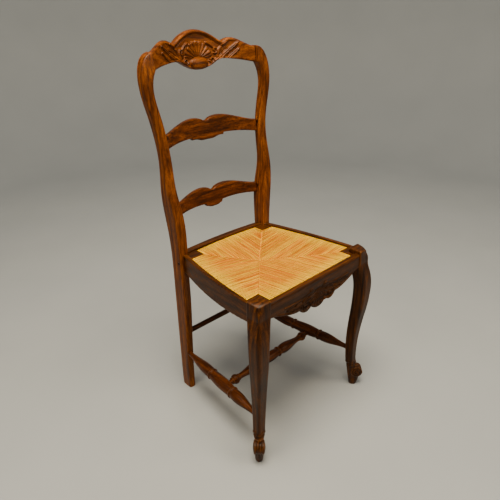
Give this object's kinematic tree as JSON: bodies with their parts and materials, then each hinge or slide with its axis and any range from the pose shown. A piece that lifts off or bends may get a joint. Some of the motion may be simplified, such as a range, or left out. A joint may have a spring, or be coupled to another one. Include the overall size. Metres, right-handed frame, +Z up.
{
  "type": "dining chair",
  "caption": "Carved French provincial ladder-back dining chair in stained oak, with cabriole front legs, turned stretchers and a drop-in rush seat.",
  "frame": {"origin": "on the floor, under the middle of the chair's overall width and depth", "axes": "+Z up, the sitter faces -Y, +X to the right of someone looking at the chair's front; the chair is symmetric about the YZ plane"},
  "size_m": [0.4692, 0.4789, 1],
  "materials": {
    "golden_oak": "oak stained golden brown and waxed to a soft gloss",
    "brown_oak": "oak stained reddish brown and waxed",
    "dark_oak": "oak stained dark brown and waxed",
    "raw_wood": "unfinished planed beech, hidden inside the seat and rails",
    "rush": "twisted natural rush cord, golden with a dry sheen",
    "steel": "plain steel wood screws"
  },
  "bodies": {
    "chair_frame": {"crest_rail": "golden_oak", "upper_slat": "brown_oak", "lower_slat": "brown_oak", "left_rear_post": "golden_oak", "right_rear_post": "golden_oak", "left_front_leg": "brown_oak", "right_front_leg": "brown_oak", "front_rail": "dark_oak", "rear_rail": "dark_oak", "left_side_rail": "dark_oak", "right_side_rail": "dark_oak", "left_side_stretcher": "brown_oak", "right_side_stretcher": "brown_oak", "cross_stretcher": "brown_oak", "rear_stretcher": "dark_oak", "left_front_corner_block": "raw_wood", "right_front_corner_block": "raw_wood", "left_rear_corner_block": "raw_wood", "right_rear_corner_block": "raw_wood", "joint_pegs": "brown_oak", "corner_block_screws": "steel"},
    "seat": {"seat_front_bar": "raw_wood", "seat_rear_bar": "raw_wood", "left_seat_side_bar": "raw_wood", "right_seat_side_bar": "raw_wood", "left_seat_front_corner": "dark_oak", "right_seat_front_corner": "dark_oak", "left_seat_rear_corner": "dark_oak", "right_seat_rear_corner": "dark_oak", "rush_weave": "rush", "rush_packing": "rush"}
  },
  "joints": [
    {"name": "seat_lift", "type": "slide", "parent": "chair_frame", "child": "seat", "axis": [0, 0, 1], "range_m": [0, 0.6]}
  ]
}
